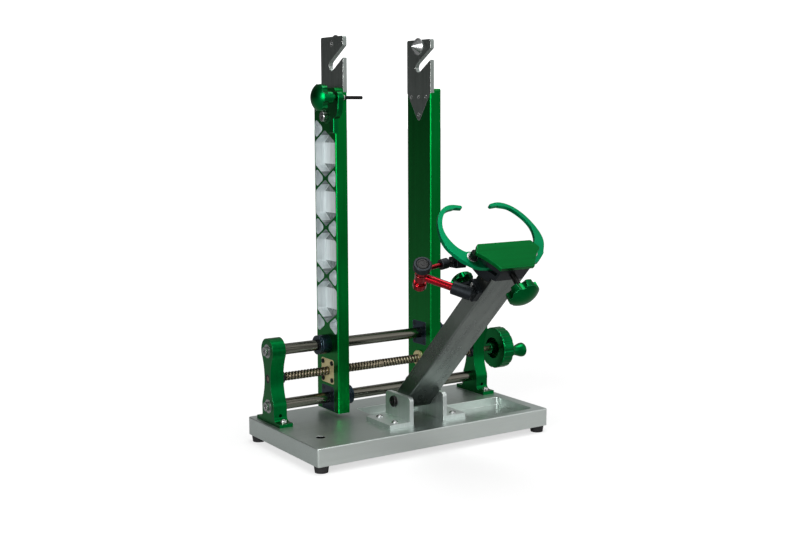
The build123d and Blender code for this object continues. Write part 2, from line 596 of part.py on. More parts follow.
swivel = on_arm(a=SWIVEL_A, b=SWIVEL_B, x=SWIVEL_X).position
reach_dir = (ELBOW - swivel).normalized()
elbow_axis = (ELBOW_LEAN - reach_dir * reach_dir.dot(ELBOW_LEAN)).normalized()
socket_end = swivel + reach_dir * 22.0
cup = bar(swivel - reach_dir * 5.0, socket_end, 9.0)
cup = chamfer(cup.edges().filter_by(GeomType.CIRCLE), 0.8)
pin_bore = xcyl(NECK_R + RUN, neck_end - 0.3, 0, swivel.Y, swivel.Z)
parts["indicator_socket"] = cup - pin_bore

eye_h = LINK_R + 0.15
eye = bar(ELBOW - elbow_axis * eye_h, ELBOW + elbow_axis * eye_h, 8.0)
link = bar(socket_end, ELBOW, LINK_R) + eye
parts["indicator_lower_link"] = link - bar(ELBOW - elbow_axis * 9, ELBOW + elbow_axis * 9, ELBOW_PIN_R)
elbow_pin = bar(ELBOW - elbow_axis * eye_h, ELBOW + elbow_axis * 24.0, ELBOW_PIN_R)
cap = bar(ELBOW - elbow_axis * 22.5, ELBOW - elbow_axis * 12.5, 9.1)
cap = fillet(cap.edges().filter_by(GeomType.CIRCLE), 1.6)
collar = bar(ELBOW - elbow_axis * 13.5, ELBOW - elbow_axis * eye_h, 6.2)
parts["elbow_cap"] = cap + collar + elbow_pin

hub_low = eye_h + 0.3
hub_high = hub_low + 2 * ROD_LINK_R + 0.3
root = ELBOW + elbow_axis * (hub_low + hub_high) / 2
toward = WRIST - root
level = (toward - elbow_axis * toward.dot(elbow_axis)).normalized()
bend = root + level * 12.5
upper_dir = (WRIST - bend).normalized()
sleeve_start = WRIST - upper_dir * 20.0
upper = bar(ELBOW + elbow_axis * hub_low, ELBOW + elbow_axis * hub_high, 7.2)
upper += bar(root, bend, ROD_LINK_R) + bar(bend, sleeve_start, ROD_LINK_R) + Pos(*bend) * Sphere(ROD_LINK_R)
parts["indicator_upper_link"] = upper - bar(ELBOW, ELBOW + elbow_axis * 18.0, ELBOW_PIN_R + RUN)
grip_sleeve = bar(sleeve_start, WRIST - upper_dir * 8.5, 7.0)
parts["wrist_sleeve"] = chamfer(grip_sleeve.edges().filter_by(GeomType.CIRCLE), 0.6)
knob_low = hub_high + 0.3
rim_low = knob_low + 3.5
knob_high = rim_low + 9.5
elbow_knob = bar(ELBOW + elbow_axis * rim_low, ELBOW + elbow_axis * knob_high, 12.0)
elbow_knob = chamfer(elbow_knob.edges().filter_by(GeomType.CIRCLE), 0.9)
elbow_knob -= bar(ELBOW + elbow_axis * (knob_high - 1.2), ELBOW + elbow_axis * (knob_high + 1), 8.8)
elbow_knob += bar(ELBOW + elbow_axis * knob_low, ELBOW + elbow_axis * rim_low, 6.5)
parts["elbow_knob"] = elbow_knob - bar(ELBOW, ELBOW + elbow_axis * 24.3, ELBOW_PIN_R + RUN)

ball = Pos(*WRIST) * Sphere(BALL_R)
parts["wrist_ball"] = bar(WRIST - upper_dir * 8.5, WRIST, 2.4) + ball
clamp_mid = WRIST + Vector(5.5, -4.0, -1.0)
clamp_bore = clamp_mid + Vector(0, -4.4, -1.5)
jaw = fillet((Pos(*clamp_mid) * Box(14.0, 20.0, 14.0)).edges().filter_by(Axis.X), 3.0)
jaw -= Pos(*WRIST) * Sphere(BALL_R + RUN)
jaw -= bar(WRIST, WRIST - upper_dir * 20.0, 3.2)
jaw -= Pos(*clamp_bore) * Rot(0, 90, 0) * Cylinder(STEM_BORE_R, 20.0)
pointer = bar(clamp_mid + Vector(-1.0, 6.8, 4.5), clamp_mid + Vector(-8.0, 8.4, 21.0), 1.4)
parts["indicator_clamp"] = jaw - pointer
parts["pointer"] = pointer

for name, shape in parts.items():
    export_step(shape, f"parts/{name}.step")
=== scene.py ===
import bmesh
import bpy
import json
import math
from mathutils import Matrix, Vector


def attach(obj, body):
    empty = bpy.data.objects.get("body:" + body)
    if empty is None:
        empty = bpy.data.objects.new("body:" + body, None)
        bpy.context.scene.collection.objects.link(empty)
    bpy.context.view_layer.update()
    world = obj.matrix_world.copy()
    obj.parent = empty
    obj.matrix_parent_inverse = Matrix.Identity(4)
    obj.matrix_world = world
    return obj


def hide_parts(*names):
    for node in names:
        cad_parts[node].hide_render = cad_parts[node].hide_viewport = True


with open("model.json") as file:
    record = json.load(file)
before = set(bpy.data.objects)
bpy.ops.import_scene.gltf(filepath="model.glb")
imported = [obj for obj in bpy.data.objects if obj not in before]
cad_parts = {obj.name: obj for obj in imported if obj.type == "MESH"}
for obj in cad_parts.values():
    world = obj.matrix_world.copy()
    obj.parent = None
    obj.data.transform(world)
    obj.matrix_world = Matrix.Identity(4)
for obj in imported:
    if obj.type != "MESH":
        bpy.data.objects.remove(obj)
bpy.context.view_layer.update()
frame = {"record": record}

# ------------------------------------------------------------------- places
# Lengths are millimetres in the shared frame; MM turns them into metres.
MM = 0.001
X = Vector((1.0, 0.0, 0.0))
Y = Vector((0.0, 1.0, 0.0))
Z = Vector((0.0, 0.0, 1.0))
JOINTS = {joint["name"]: joint for joint in frame["record"]["behaviour"]["joints"]}


def joint_at(name):
    return Vector(JOINTS[name]["pos_m"]) / MM


def joint_axis(name):
    return Vector(JOINTS[name]["axis"]).normalized()


TOP = 35.4  # upper face of the base plate
ROD_Y = joint_at("crank_turn").y
SCREW_Z = joint_at("crank_turn").z
ROD_PITCH = 40.05
LOW_Z = SCREW_Z - ROD_PITCH
HIGH_Z = SCREW_Z + ROD_PITCH
THREAD_CORE_R = 4.9
THREAD_CREST_R = 6.28
THREAD_END = 165.2
BLOCK_X = 179.1
BLOCK_FOOT_T = 5.1
BLOCK_SCREW_DY = 27.2
BRACKET_SCREW_X = 50.0
BRACKET_SCREW_Y = (-64.5, -24.0)
STORE_X = -164.3
STORE_Y = -53.6
STORE_R = 6.5
STORE_DEPTH = 8.0
LEG_T = 6.35

POST_IN = 71.7
POST_OUT = 90.9
HOLLOW_FLOOR = 75.9  # floors of the milled hollows, from the middle of the stand
HOLLOW_HALF = 29.2
HOLLOW_Z = (TOP + 119.2, TOP + 436.0)
CROSS_Z = TOP + 134.0  # lowest crossing of the ribs
HALF_CELL = 35.5
AXLE_T = 6.35
CONE_Y = 54.37
CONE_Z = TOP + 538.0

PIVOT = joint_at("arm_tilt")
ALONG = joint_axis("claw_left_swing")
ACROSS = joint_axis("opener_turn")
CLAW_X = 48.6
CLAW_B = 17.5
CLAW_FACE_A = 310.1
ELBOW = joint_at("elbow_turn")
ELBOW_AXIS = joint_axis("elbow_turn")
KNOB_TOP = 25.5  # outer face of the elbow knob, along its axis


def point(x, y, z):
    return Vector((x, y, z))


def on_arm(x, a, b):
    """Point on the tilting arm: a along it from its pivot, b across it toward the axle."""
    return PIVOT + X * x + ALONG * a + ACROSS * b


# -------------------------------------------------------------- node helpers
class Graph:
    """Short-hand for wiring one node tree."""

    def __init__(self, tree):
        self.tree = tree

    def node(self, kind, **values):
        made = self.tree.nodes.new(kind)
        for key, value in values.items():
            setattr(made, key, value)
        return made

    def put(self, socket, value):
        """Feed a socket from another one, or set it to a constant."""
        if hasattr(value, "is_linked"):
            self.tree.links.new(value, socket)
        else:
            socket.default_value = value

    def math(self, operation, *terms, clamp=False):
        made = self.node("ShaderNodeMath", operation=operation, use_clamp=clamp)
        for socket, term in zip(made.inputs, terms):
            self.put(socket, term)
        return made.outputs[0]

    def product(self, first, *others):
        """Product of several masks: 1 only where all of them are."""
        made = first
        for mask in others:
            made = self.math("MULTIPLY", made, mask)
        return made

    def blend(self, factor, low, high):
        """Number that is low where the factor is 0 and high where it is 1."""
        span = self.math("SUBTRACT", high, low)
        return self.math("MULTIPLY_ADD", span, factor, low)


class Surface(Graph):
    """One procedural material round a Principled shader."""

    def __init__(self, name):
        self.mat = bpy.data.materials.new(name)
        self.mat.use_nodes = True
        super().__init__(self.mat.node_tree)
        self.shader = self.tree.nodes["Principled BSDF"]
        self.coord = self.node("ShaderNodeTexCoord").outputs["Object"]

    def fed(self, name):
        """What the shader's socket is linked to now."""
        return self.shader.inputs[name].links[0].from_socket

    def feed(self, name, value):
        self.put(self.shader.inputs[name], value)

    def split(self, vector):
        made = self.node("ShaderNodeSeparateXYZ")
        self.put(made.inputs[0], vector)
        return made.outputs

    def stretched(self, scale):
        made = self.node("ShaderNodeMapping")
        made.inputs["Scale"].default_value = scale
        self.put(made.inputs["Vector"], self.coord)
        return made.outputs["Vector"]

    def noise(self, scale, vector=None, detail=3.0, rough=0.55):
        made = self.node("ShaderNodeTexNoise")
        made.inputs["Scale"].default_value = scale
        made.inputs["Detail"].default_value = detail
        made.inputs["Roughness"].default_value = rough
        self.put(made.inputs["Vector"], vector or self.coord)
        return made.outputs["Fac"]

    def ramp(self, factor, *stops):
        made = self.node("ShaderNodeValToRGB")
        elements = made.color_ramp.elements
        while len(elements) < len(stops):
            elements.new(0.5)
        for element, (position, color) in zip(elements, stops):
            element.position = position
            element.color = (*color, 1.0)
        self.put(made.inputs["Fac"], factor)
        return made.outputs["Color"]

    def mix(self, factor, first, second):
        """Colour that is the first where the factor is 0 and the second where it is 1."""
        made = self.node("ShaderNodeMix", data_type="RGBA")
        sockets = {socket.name: socket for socket in made.inputs if socket.enabled}
        self.put(sockets["Factor"], factor)
        for key, color in (("A", first), ("B", second)):
            self.put(sockets[key], (*color, 1.0) if isinstance(color, tuple) else color)
        return next(socket for socket in made.outputs if socket.enabled)

    def bump(self, height, strength, distance, normal=None):
        made = self.node("ShaderNodeBump")
        made.inputs["Strength"].default_value = strength
        made.inputs["Distance"].default_value = distance
        self.put(made.inputs["Height"], height)
        if normal:
            self.put(made.inputs["Normal"], normal)
        self.feed("Normal", made.outputs["Normal"])

    def edge(self, radius):
        """Mask that is 1 on sharp edges, and the rounded normal that it comes from."""
        bevel = self.node("ShaderNodeBevel", samples=4)
        bevel.inputs["Radius"].default_value = radius
        flat = self.node("ShaderNodeNewGeometry").outputs["Normal"]
        dot = self.node("ShaderNodeVectorMath", operation="DOT_PRODUCT")
        self.put(dot.inputs[0], bevel.outputs["Normal"])
        self.put(dot.inputs[1], flat)
        worn_and_glint = self.math("SUBTRACT", 1.0, dot.outputs["Value"])
        return self.math("MULTIPLY", worn_and_glint, 6.0, clamp=True), bevel.outputs["Normal"]


# ---------------------------------------------------------------- materials
def brushed(name, dark, light, rough, grain, metallic=1.0, coat=0.0, wear_and_glint=(0.8, 0.8, 0.8),
            wear_and_glint_amount=0.35, edge_radius=0.0006, grain_strength=0.25):
    """Machined metal: streaks along the axis of the smallest grain, cloudy tone, edges lightened partly by
    wear and partly by a painted highlight.
    """
    s = Surface(name)
    streak = s.noise(1.0, s.stretched(grain), detail=4.0)
    cloud = s.noise(9.0)
    fine = s.noise(240.0, detail=2.0)
    tone = s.blend(0.45, streak, cloud)
    color = s.ramp(tone, (0.25, dark), (0.75, light))
    # Edge colour: partly real edge wear, partly a painted highlight along the rims.
    edge, normal = s.edge(edge_radius)
    worn_and_glint = s.math("MULTIPLY", edge, s.math("MULTIPLY_ADD", fine, 0.8, wear_and_glint_amount), clamp=True)
    s.feed("Base Color", s.mix(s.math("MULTIPLY", worn_and_glint, wear_and_glint_amount), color, wear_and_glint))
    s.feed("Roughness", s.math("MULTIPLY_ADD", fine, 0.08, s.blend(streak, rough * 0.8, rough * 1.2)))
    s.bump(streak, grain_strength, 0.00008, normal)
    s.feed("Metallic", metallic)
    s.feed("Coat Weight", coat)
    s.feed("Coat Roughness", 0.12)
    return s


def upright_metal():
    """Green anodised bar whose milled hollows are bare: bright walls, and ramped triangles at the rib
    crossings painted darker as shade.
    """
    s = brushed("upright_green_and_bare", (0.0, 0.15, 0.02), (0.0, 0.24, 0.036), 0.30, (260, 260, 6),
                wear_and_glint=(0.07, 0.42, 0.22), wear_and_glint_amount=0.6)
    ramp_top = 20.2
    ramp_slope = 0.74
    x, y, z = s.split(s.coord)
    from_middle = s.math("ABSOLUTE", s.math("SUBTRACT", y, ROD_Y * MM))
    depth = s.math("ABSOLUTE", x)
    inside = s.product(
        s.math("GREATER_THAN", depth, (HOLLOW_FLOOR - 0.2) * MM),
        s.math("LESS_THAN", depth, (POST_OUT - 0.15) * MM),
        s.math("LESS_THAN", from_middle, HOLLOW_HALF * MM),
        s.math("GREATER_THAN", z, HOLLOW_Z[0] * MM),
        s.math("LESS_THAN", z, HOLLOW_Z[1] * MM))

    streak = s.noise(1.0, s.stretched((420, 420, 30)))
    wall = s.ramp(streak, (0.3, (0.66, 0.72, 0.73)), (0.7, (0.84, 0.89, 0.90)))
    slant = s.noise(1.0, s.stretched((60, 260, 190)))
    # Painted shade: the ramped triangles beside each rib crossing get these dark colours.
    slope = s.ramp(
        slant,
        (0.35, (0.16, 0.19, 0.19)), (0.62, (0.33, 0.37, 0.37)), (0.72, (0.55, 0.60, 0.60)))
    lift = s.math("PINGPONG", s.math("SUBTRACT", z, CROSS_Z * MM), HALF_CELL * MM)
    shaded_ramps = s.product(
        s.math("LESS_THAN", lift, ramp_top * MM),
        s.math("GREATER_THAN", lift, s.math("MULTIPLY", from_middle, ramp_slope)))
    bare = s.mix(shaded_ramps, wall, slope)
    s.feed("Base Color", s.mix(inside, s.fed("Base Color"), bare))
    s.feed("Roughness", s.blend(inside, s.fed("Roughness"), s.blend(streak, 0.36, 0.52)))
    s.feed("Metallic", s.blend(inside, 1.0, 0.55))

    mill = s.node("ShaderNodeTexWave", wave_type="RINGS", rings_direction="X")
    mill.inputs["Scale"].default_value = 260.0
    mill.inputs["Distortion"].default_value = 1.5
    s.put(mill.inputs["Vector"], s.coord)
    s.bump(s.product(inside, mill.outputs["Fac"]), 0.12, 0.00006, s.fed("Normal"))
    return s


def plate_metal():
    """Base plate: painted light on the front face (lighter, greener), painted reflection on the sunk pocket
    floors (darker, greener), painted shade in the storage hole.
    """
    s = brushed("base_plate_aluminium", (0.56, 0.63, 0.60), (0.71, 0.78, 0.75), 0.33, (9, 420, 420),
                wear_and_glint=(0.97, 0.99, 0.98), wear_and_glint_amount=0.9, edge_radius=0.0011)
    x, y, z = s.split(s.coord)
    facing = s.split(s.node("ShaderNodeTexCoord").outputs["Normal"])
    front = s.math("LESS_THAN", facing["Y"], -0.8)
    low = s.product(
        s.math("LESS_THAN", z, (TOP - 5.0) * MM),
        s.math("GREATER_THAN", facing["Z"], 0.5))
    dx = s.math("SUBTRACT", x, STORE_X * MM)
    dy = s.math("SUBTRACT", y, STORE_Y * MM)
    reach = s.math("SQRT", s.math("ADD", s.math("MULTIPLY", dx, dx), s.math("MULTIPLY", dy, dy)))
    hole = s.product(
        s.math("LESS_THAN", reach, (STORE_R + 0.1) * MM),
        s.math("LESS_THAN", z, (TOP - 0.4) * MM))
    # Painted light: the face toward -Y is lightened and tinted green.
    color = s.mix(s.math("MULTIPLY", front, 0.65), s.fed("Base Color"), (0.94, 1.0, 0.96))
    # Painted reflection: upward floors sunk below the top are darkened and tinted green.
    color = s.mix(s.math("MULTIPLY", low, 0.35), color, (0.32, 0.38, 0.36))
    # Painted shade: the inside of the storage hole is made nearly black.
    s.feed("Base Color", s.mix(hole, color, (0.03, 0.035, 0.035)))
    return s


def thread_metal():
    """Rolled thread: roots painted nearly black as shade in the grooves, coppery bright crests."""
    s = brushed("leadscrew_thread", (0.14, 0.115, 0.078), (0.33, 0.285, 0.205), 0.24, (40, 200, 200),
                wear_and_glint=(0.62, 0.57, 0.45), wear_and_glint_amount=0.45, edge_radius=0.0003, grain_strength=0.1)
    x, y, z = s.split(s.coord)
    dy = s.math("SUBTRACT", y, ROD_Y * MM)
    dz = s.math("SUBTRACT", z, SCREW_Z * MM)
    radius = s.math("SQRT", s.math("ADD", s.math("MULTIPLY", dy, dy), s.math("MULTIPLY", dz, dz)))
    height = s.math("MULTIPLY", s.math("SUBTRACT", radius, THREAD_CORE_R * MM), 900.0, clamp=True)
    threaded = s.math("LESS_THAN", s.math("ABSOLUTE", x), (THREAD_END + 0.1) * MM)
    crest = s.fed("Base Color")
    # Painted shade: the thread roots are darkened to near black.
    root_shade = s.mix(threaded, crest, (0.010, 0.008, 0.006))
    s.feed("Base Color", s.mix(height, root_shade, crest))
    return s


def arm_metal():
    """Drawn tube with mill-scale clouds, and painted shade that darkens it toward its foot."""
    s = brushed("arm_tube_steel", (0.14, 0.16, 0.15), (0.33, 0.36, 0.34), 0.25, (90, 16, 16),
                wear_and_glint=(0.85, 0.88, 0.86), wear_and_glint_amount=0.6, grain_strength=0.12)
    z = s.split(s.coord)["Z"]
    rise = s.math("MULTIPLY", s.math("SUBTRACT", z, 75.0 * MM), 16.0, clamp=True)
    cloud = s.noise(22.0, detail=5.0, rough=0.65)
    # Mill-scale clouds, deepened toward the foot by painted shade between the brackets.
    scale_and_shade = s.math("MULTIPLY", s.math("SUBTRACT", 1.15, rise), cloud, clamp=True)
    s.feed("Base Color", s.mix(scale_and_shade, s.fed("Base Color"), (0.07, 0.08, 0.075)))
    return s


def rubber():
    """Moulded rubber: near black, matt and finely grained."""
    s = Surface("moulded_rubber")
    grain = s.noise(900.0, detail=4.0)
    tone = s.noise(40.0)
    s.feed("Base Color", s.ramp(tone, (0.3, (0.012, 0.012, 0.013)), (0.7, (0.026, 0.026, 0.027))))
    s.feed("Roughness", s.blend(grain, 0.55, 0.75))
    s.bump(grain, 0.4, 0.0002)
    return s


# The wear colours below lighten the edges: partly real wear, partly a painted highlight.
clear_alu = brushed("clear_aluminium", (0.58, 0.66, 0.63), (0.74, 0.82, 0.79), 0.33, (9, 420, 420),
                    wear_and_glint=(0.95, 0.97, 0.96), wear_and_glint_amount=0.7).mat
bracket_alu = brushed("bracket_aluminium", (0.62, 0.69, 0.67), (0.84, 0.90, 0.88), 0.40, (420, 420, 12),
                      wear_and_glint=(0.97, 0.98, 0.97), wear_and_glint_amount=0.7).mat
green = brushed("green_anodised", (0.0, 0.11, 0.022), (0.0, 0.18, 0.036), 0.27, (300, 300, 7),
                wear_and_glint=(0.05, 0.36, 0.17), wear_and_glint_amount=0.5).mat
knob_green = brushed("green_knob", (0.0, 0.11, 0.024), (0.0, 0.19, 0.042), 0.26, (60, 60, 60),
                     wear_and_glint=(0.10, 0.66, 0.32), wear_and_glint_amount=0.5, edge_radius=0.0008).mat
plate_green = brushed("green_plate", (0.0, 0.15, 0.025), (0.0, 0.21, 0.038), 0.36, (7, 300, 300),
                      wear_and_glint=(0.06, 0.50, 0.22), wear_and_glint_amount=0.55).mat
black_alu = brushed("black_anodised", (0.010, 0.013, 0.016), (0.026, 0.032, 0.037), 0.40, (200, 200, 200),
                    metallic=0.8, wear_and_glint=(0.16, 0.20, 0.22)).mat
bearing_black = brushed("bearing_blue_black", (0.008, 0.018, 0.030), (0.020, 0.044, 0.068), 0.26,
                        (120, 120, 120), metallic=0.9, coat=0.12,
                        wear_and_glint=(0.22, 0.32, 0.40), wear_and_glint_amount=0.8).mat
black_steel = brushed("black_oxide", (0.010, 0.010, 0.010), (0.026, 0.026, 0.026), 0.30, (160, 160, 160),
                      metallic=0.9, wear_and_glint=(0.18, 0.18, 0.18)).mat
rod_steel = brushed("guide_rod_steel", (0.115, 0.11, 0.09), (0.20, 0.195, 0.165), 0.13, (3, 260, 260),
                    wear_and_glint=(0.6, 0.6, 0.6), grain_strength=0.06).mat
screw_steel = brushed("leadscrew_steel", (0.12, 0.105, 0.08), (0.30, 0.27, 0.22), 0.26, (40, 300, 300),
                      wear_and_glint=(0.75, 0.72, 0.62), wear_and_glint_amount=0.8).mat
axle_steel = brushed("axle_plate_steel", (0.26, 0.30, 0.28), (0.42, 0.46, 0.44), 0.30, (90, 300, 14),
                     wear_and_glint=(0.95, 0.97, 0.95), wear_and_glint_amount=1.0).mat
cone_steel = brushed("cone_steel", (0.32, 0.33, 0.33), (0.52, 0.53, 0.53), 0.22, (500, 60, 60),
                     wear_and_glint=(0.9, 0.92, 0.9)).mat
tube_steel = brushed("drawn_tube_steel", (0.13, 0.15, 0.14), (0.33, 0.36, 0.34), 0.25, (110, 18, 18),
                     wear_and_glint=(0.85, 0.88, 0.86), wear_and_glint_amount=0.6, grain_strength=0.12).mat
stainless = brushed("stainless_steel", (0.50, 0.51, 0.50), (0.70, 0.71, 0.70), 0.24, (200, 200, 200),
                    wear_and_glint=(1.0, 1.0, 1.0)).mat
brass = brushed("satin_brass", (0.70, 0.60, 0.30), (0.86, 0.77, 0.46), 0.46, (30, 120, 120),
                metallic=0.75, wear_and_glint=(1.0, 0.95, 0.70), wear_and_glint_amount=0.7, grain_strength=0.1).mat
red = brushed("red_anodised", (0.26, 0.0, 0.004), (0.36, 0.001, 0.010), 0.17, (60, 60, 60),
              coat=0.35, wear_and_glint=(0.90, 0.35, 0.35), wear_and_glint_amount=0.5, grain_strength=0.05).mat
emerald = brushed("emerald_coating", (0.0, 0.30, 0.105), (0.0, 0.35, 0.13), 0.38, (35, 35, 35),
                  wear_and_glint=(0.02, 0.52, 0.27), wear_and_glint_amount=0.3, grain_strength=0.03).mat
rubber_black = rubber().mat
thread_mat = thread_metal().mat

BY_SLOT = {
    "green_anodised": green,
    "black_anodised": black_alu,
    "red_anodised": red,
    "rod_steel": rod_steel,
    "screw_steel": screw_steel,
    "axle_steel": axle_steel,
    "raw_steel": tube_steel,
    "stainless_steel": stainless,
    "black_oxide_steel": black_steel,
    "brass": brass,
    "emerald_coat": emerald,
    "rubber_black": rubber_black,
    "clear_aluminium": clear_alu,
}
OWN_FINISH = (
    (plate_metal().mat, ("base_plate",)),
    (upright_metal().mat, ("left_upright", "right_upright")),
    (arm_metal().mat, ("arm_tube",)),
    (plate_green, ("caliper_plate",)),
    (bracket_alu, ("left_arm_bracket", "right_arm_bracket")),
    (knob_green, ("handwheel", "crank_grip", "gauge_knob", "opening_knob", "clamp_knob")),
    (bearing_black, ("left_upper_bearing", "left_lower_bearing")),
    (bearing_black, ("right_upper_bearing", "right_lower_bearing")),
    (cone_steel, ("rod_end_washers", "rod_end_screws", "gauge_hinge_screw")),
    (cone_steel, ("left_centre_cone", "right_centre_cone")),
)


def paint_parts():
    """Give every CAD node its finish, by its own name or else by its slot."""
    finish = {node: mat for mat, nodes in OWN_FINISH for node in nodes}
    for subpart in frame["record"]["subparts"]:
        node = subpart["node"]
        mat = finish.get(node, BY_SLOT[subpart["material_slot"]])
        for material_slot in bpy.data.objects[node].material_slots:
            material_slot.material = mat


# ------------------------------------------------------------- mesh helpers
def add_piece(name, bm, body, mat, smooth=40.0):
    """Finish a mesh as a smooth-shaded piece that rides on a body."""
    mesh = bpy.data.meshes.new(name)
    bmesh.ops.recalc_face_normals(bm, faces=bm.faces)
    bm.to_mesh(mesh)
    bm.free()
    mesh.materials.append(mat)
    obj = bpy.data.objects.new(name, mesh)
    bpy.context.scene.collection.objects.link(obj)
    for polygon in mesh.polygons:
        polygon.use_smooth = True
    mesh.set_sharp_from_angle(angle=math.radians(smooth))
    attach(obj, body)
    return obj


def skin(bm, loops):
    """Join rings of vertices into a closed body with flat ends."""
    count = len(loops[0])
    for low, high in zip(loops, loops[1:]):
        for i in range(count):
            j = (i + 1) % count
            bm.faces.new((low[i], low[j], high[j], high[i]))
    bm.faces.new(loops[0])
    bm.faces.new(loops[-1])


def circle(radius, turn):
    return radius


def hexagon(radius, turn):
    """Radius of a hexagon at this angle; radius is half its width across flats."""
    sixth = math.pi / 3
    return radius / math.cos((turn + sixth / 2) % sixth - sixth / 2)


def turned(bm, origin, axis, profile, count=36):
    """Skin (radius, height[, shape]) steps round an axis."""
    rotation = axis.to_track_quat("Z", "Y").to_matrix()
    loops = []
    for radius, height, *rest in profile:
        shape = rest[0] if rest else circle
        loop = []
        for i in range(count):
            turn = 2 * math.pi * i / count
            r = shape(radius, turn)
            local = point(r * math.cos(turn), r * math.sin(turn), height)
            loop.append(bm.verts.new((origin + rotation @ local) * MM))
        loops.append(loop)
    skin(bm, loops)


def cap_screw(bm, origin, axis, r, h, key):
    """Socket head with a rounded rim; key is half the width of its hexagonal recess."""
    rim = min(0.12 * r, 0.25 * h)
    turned(bm, origin, axis, [
        (r * 0.2, 0.0), (r, 0.0), (r, h - rim), (r - rim * 0.4, h - rim * 0.35), (r - rim, h),
        (key + 0.25, h), (key, h - 0.3, hexagon), (key, h - 0.62 * h, hexagon), (0.05, h - 0.7 * h)])


def button_screw(bm, origin, axis, r, h, key):
    """Domed socket head on a low cylindrical rim."""
    rim = 0.15 * h
    profile = [(r * 0.3, 0.0), (r, 0.0), (r, rim)]
    profile += [(r * math.cos(a), rim + (h - rim) * math.sin(a)) for a in (0.35, 0.7, 1.0)]
    profile += [(key + 0.2, h), (key, h - 0.25, hexagon), (key, h * 0.35, hexagon), (0.05, h * 0.3)]
    turned(bm, origin, axis, profile)


def flush_screw(bm, origin, axis, r, key, proud=0.25):
    """Countersunk socket screw set just proud of its surface."""
    turned(bm, origin, axis, [
        (r * 0.6, -0.3), (r, 0.0), (r - 0.15, proud), (key + 0.2, proud), (key, proud - 0.15, hexagon),
        (key, -0.9, hexagon), (0.05, -1.0)])


# ---------------------------------------------------------------- leadscrew
def leadscrew():
    """Threaded spindle: left-hand thread on -X, right-hand on +X, a short plain ring between."""
    pitch = 5.08
    plain = 2.5
    fade_length = 2.0
    plain_r = 6.3
    end_r = 6.0
    journal_r = 3.94
    journal_from = 165.5
    root_share = 0.22
    flank_share = 0.3
    left_end = -189.0
    right_end = 230.6
    turns = 28
    step = pitch / 10
    count = int((THREAD_END - plain) / step)

    def radius(x, turn):
        out = abs(x)
        if out > journal_from - 0.05:
            return journal_r
        if out > THREAD_END:
            return end_r
        if out <= plain:
            return plain_r
        hand = 1.0 if x > 0 else -1.0
        phase = (x / pitch - hand * turn / (2 * math.pi)) % 1.0
        lift = min(1.0, max(0.0, (abs(phase - 0.5) * 2 - root_share) / flank_share))
        thread_r = THREAD_CORE_R + (THREAD_CREST_R - THREAD_CORE_R) * lift
        fade = min(1.0, (out - plain) / fade_length)
        return plain_r + (thread_r - plain_r) * fade

    threaded = [plain + step * i for i in range(1, count + 1)]
    places = [left_end, -journal_from, 0.1 - journal_from]
    places += [-x for x in reversed(threaded)]
    places += [-plain, -plain + 0.6, plain - 0.6, plain]
    places += threaded
    places += [journal_from - 0.1, journal_from, right_end]
    bm = bmesh.new()
    loops = []
    for x in places:
        loop = []
        for i in range(turns):
            turn = 2 * math.pi * i / turns
            r = radius(x, turn)
            rim = point(x, ROD_Y + r * math.cos(turn), SCREW_Z + r * math.sin(turn))
            loop.append(bm.verts.new(rim * MM))
        loops.append(loop)
    skin(bm, loops)
    obj = add_piece("leadscrew_threaded", bm, "crank", thread_mat, 50)
    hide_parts("leadscrew")


# ----------------------------------------------------------------- fasteners
def base_screws():
    """Feet of the end blocks, feet of the arm brackets, and the one kept in the storage hole."""
    bm = bmesh.new()
    for side in (-1, 1):
        for dy in (-BLOCK_SCREW_DY, BLOCK_SCREW_DY):
            cap_screw(bm, point(side * BLOCK_X, ROD_Y + dy, TOP + BLOCK_FOOT_T), Z, 4.6, 4.2, 2.2)
    add_piece("block_foot_screws", bm, "frame", stainless)

    bm = bmesh.new()
    for side in (-1, 1):
        for y in BRACKET_SCREW_Y:
            button_screw(bm, point(side * BRACKET_SCREW_X, y, TOP + LEG_T), Z, 5.2, 2.6, 1.9)
    add_piece("bracket_foot_screws", bm, "frame", cone_steel)

    bm = bmesh.new()
    cap_screw(bm, point(STORE_X, STORE_Y, TOP - STORE_DEPTH), Z, 4.0, 4.0, 2.2)
    add_piece("storage_hole_screw", bm, "frame", cone_steel)


def upright_screws(side, word):
    """Screws of one upright: bearing and nut flanges, axle plate, centre cone."""
    body = word + "_post"
    outward = X * side
    outer_face = POST_OUT * side
    inner_face = POST_IN * side
    flange_hole = 12.7
    bm = bmesh.new()
    for dy in (-flange_hole, flange_hole):
        for dz in (-flange_hole, flange_hole):
            cap_screw(bm, point(outer_face, ROD_Y + dy, SCREW_Z + dz), outward, 3.5, 1.6, 1.5)
            flush_screw(bm, point(outer_face, ROD_Y + dy, LOW_Z + dz), outward, 2.6, 1.3)
            flush_screw(bm, point(inner_face, ROD_Y + dy, HIGH_Z + dz), -outward, 2.6, 1.3)
    add_piece(word + "_flange_screws", bm, body, black_steel)

    bm = bmesh.new()
    row = 463.5
    for y, rise in ((34.8, row), (54.6, row), (74.2, row), (54.4, row - 26.5)):
        flush_screw(bm, point(inner_face, y, TOP + rise), -outward, 3.1, 1.5)
    add_piece(word + "_axle_plate_screws", bm, body, stainless)

    bm = bmesh.new()
    flush_screw(bm, point(inner_face + side * AXLE_T, CONE_Y, CONE_Z), outward, 4.2, 2.0, 0.3)
    add_piece(word + "_cone_screw", bm, body, stainless)


def claw_washers():
    """Bright thin washer round each claw's hinge bolt."""
    bm = bmesh.new()
    for side in (-1, 1):
        turned(bm, on_arm(side * CLAW_X, CLAW_FACE_A + 0.15, CLAW_B), ALONG,
               [(5.3, 0.0), (7.4, 0.0), (7.6, 0.12), (7.6, 0.22), (5.3, 0.26)], 48)
    add_piece("claw_washers", bm, "arm", stainless)


